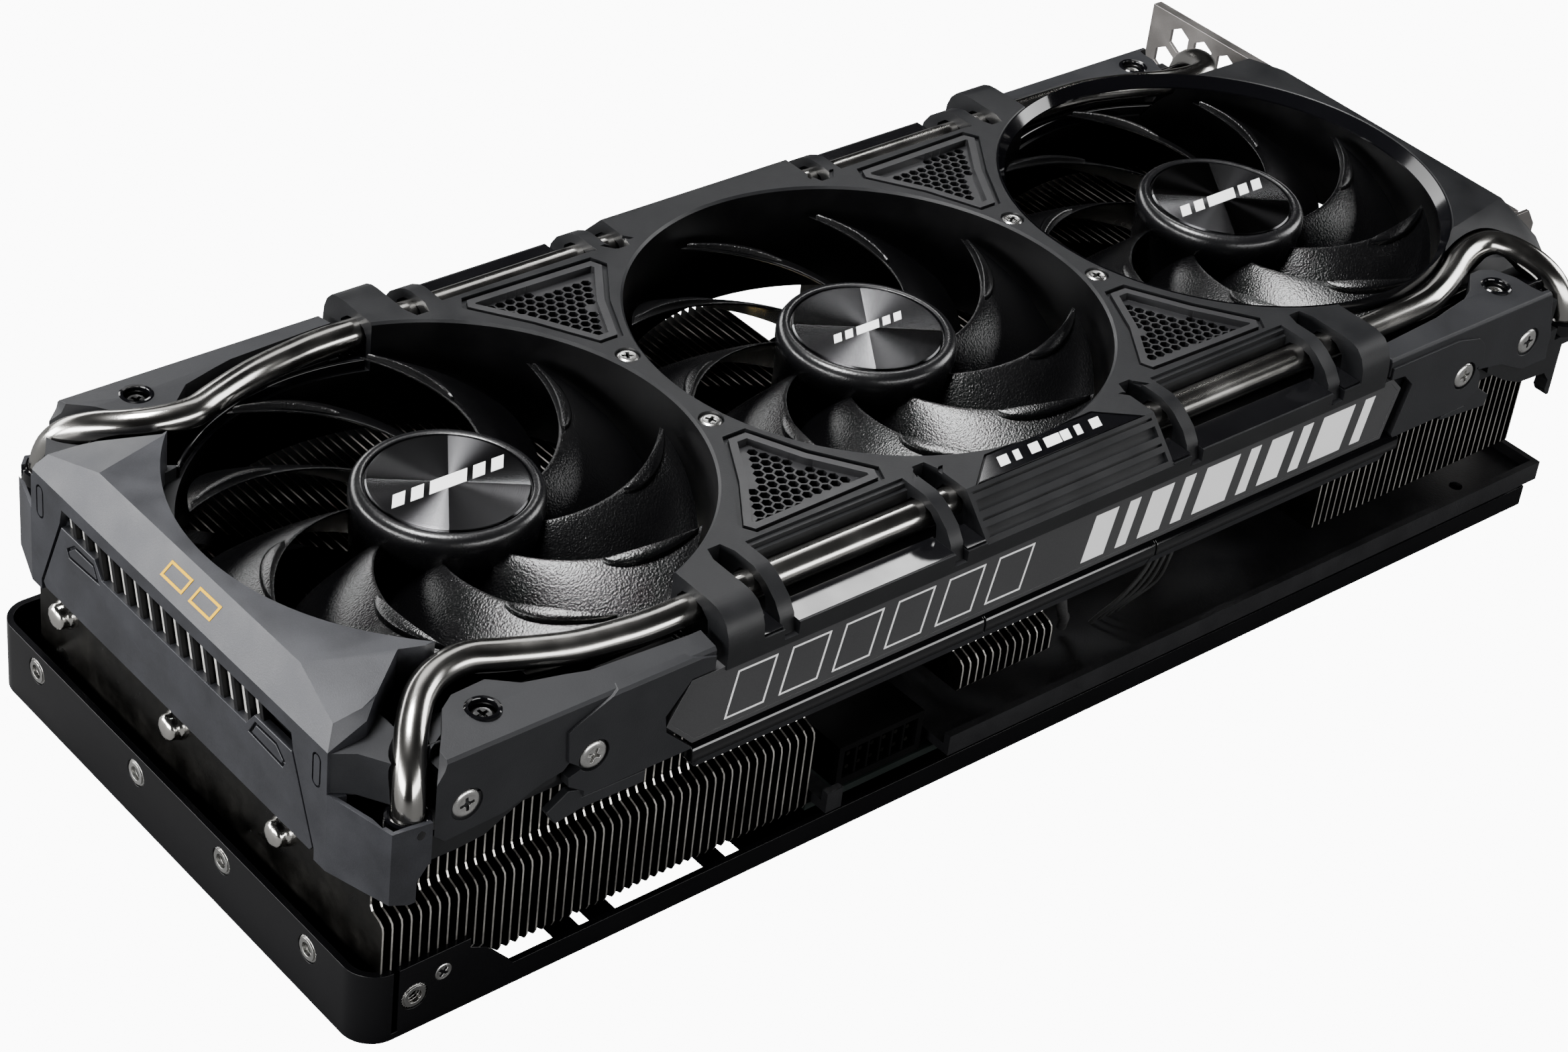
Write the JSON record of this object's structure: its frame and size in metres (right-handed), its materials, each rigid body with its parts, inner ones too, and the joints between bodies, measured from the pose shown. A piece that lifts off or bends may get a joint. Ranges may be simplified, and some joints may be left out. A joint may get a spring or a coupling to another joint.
{
  "type": "graphics card",
  "caption": "Thick triple-fan graphics card with a charcoal shroud, twin polished side rails, exposed fin stacks, a black tray backplate and a slot bracket.",
  "frame": {"origin": "middle of the card's footprint on the underside of the backplate", "axes": "+X from the tail cap to the slot bracket, +Y from the logo side to the slot contacts, +Z out of the fans"},
  "size_m": [0.3386, 0.1458, 0.071],
  "materials": {
    "shroud_plastic": "fine-grained charcoal moulding",
    "cap_paint": "satin blue-grey metallic paint",
    "panel_plastic": "satin black moulding",
    "plate_metal": "dark grey satin coat",
    "gloss_plastic": "polished black",
    "fan_plastic": "fine-grained satin black",
    "disc_metal": "black anodised, spun finish",
    "rail_nickel": "dark nickel, polished",
    "fin_metal": "black nickel with bright edges",
    "pipe_nickel": "nickel plate",
    "tray_paint": "satin black powder coat",
    "frame_casting": "satin black casting",
    "board_laminate": "black solder mask",
    "chip_package": "glass laminate",
    "cold_plate_nickel": "nickel plate",
    "connector_plastic": "moulded black",
    "bracket_steel": "dark nickel plated sheet",
    "port_steel": "bright sheet",
    "screw_steel": "bright zinc",
    "mesh_plastic": "satin black moulding",
    "motor_core": "copper winding on a laminated core",
    "lead_sleeve": "black woven sleeve"
  },
  "bodies": {
    "card": {"backplate": "tray_paint", "bridge_screw_1": "screw_steel", "bridge_screw_2": "screw_steel", "bridge_screw_3": "screw_steel", "bridge_screw_4": "screw_steel", "circuit_board": "board_laminate", "clip_panel_bracket": "panel_plastic", "clip_panel_tail": "panel_plastic", "cold_plate": "cold_plate_nickel", "corner_panel_bracket": "panel_plastic", "corner_panel_tail": "panel_plastic", "display_port_1": "port_steel", "display_port_2": "port_steel", "display_port_3": "port_steel", "display_port_4": "port_steel", "fan_lead": "lead_sleeve", "fan_mount_1": "fan_plastic", "fan_mount_2": "fan_plastic", "fan_mount_3": "fan_plastic", "fin_stack_bracket": "fin_metal", "fin_stack_lobe": "fin_metal", "fin_stack_middle": "fin_metal", "fin_stack_tail": "fin_metal", "gpu_package": "chip_package", "heat_pipe_1": "pipe_nickel", "heat_pipe_2": "pipe_nickel", "heat_pipe_3": "pipe_nickel", "io_bracket": "bracket_steel", "light_bar_bracket": "gloss_plastic", "light_bar_middle": "gloss_plastic", "light_bar_tail": "gloss_plastic", "logo_plate": "plate_metal", "mesh_insert_1": "mesh_plastic", "mesh_insert_2": "mesh_plastic", "mesh_insert_3": "mesh_plastic", "mesh_insert_4": "mesh_plastic", "mid_frame": "frame_casting", "motor_core_1": "motor_core", "motor_core_2": "motor_core", "motor_core_3": "motor_core", "name_badge": "gloss_plastic", "power_connector": "connector_plastic", "rail_front": "rail_nickel", "rail_rear": "rail_nickel", "shroud": "shroud_plastic", "tail_cap": "cap_paint", "threaded_insert_1": "screw_steel", "threaded_insert_2": "screw_steel", "threaded_insert_3": "screw_steel", "threaded_insert_4": "screw_steel", "threaded_insert_5": "screw_steel"},
    "fan_1": {"rotor_1": "fan_plastic", "hub_disc_1": "disc_metal"},
    "fan_2": {"rotor_2": "fan_plastic", "hub_disc_2": "disc_metal"},
    "fan_3": {"rotor_3": "fan_plastic", "hub_disc_3": "disc_metal"}
  },
  "joints": [
    {"name": "fan_1_spin", "type": "hinge", "parent": "card", "child": "fan_1", "pos_m": [-0.11, -0.00855, 0.057], "axis": [0, 0, 1], "continuous": true},
    {"name": "fan_2_spin", "type": "hinge", "parent": "card", "child": "fan_2", "pos_m": [-0.0061, -0.00855, 0.057], "axis": [0, 0, 1], "continuous": true},
    {"name": "fan_3_spin", "type": "hinge", "parent": "card", "child": "fan_3", "pos_m": [0.0978, -0.00855, 0.057], "axis": [0, 0, 1], "continuous": true}
  ]
}
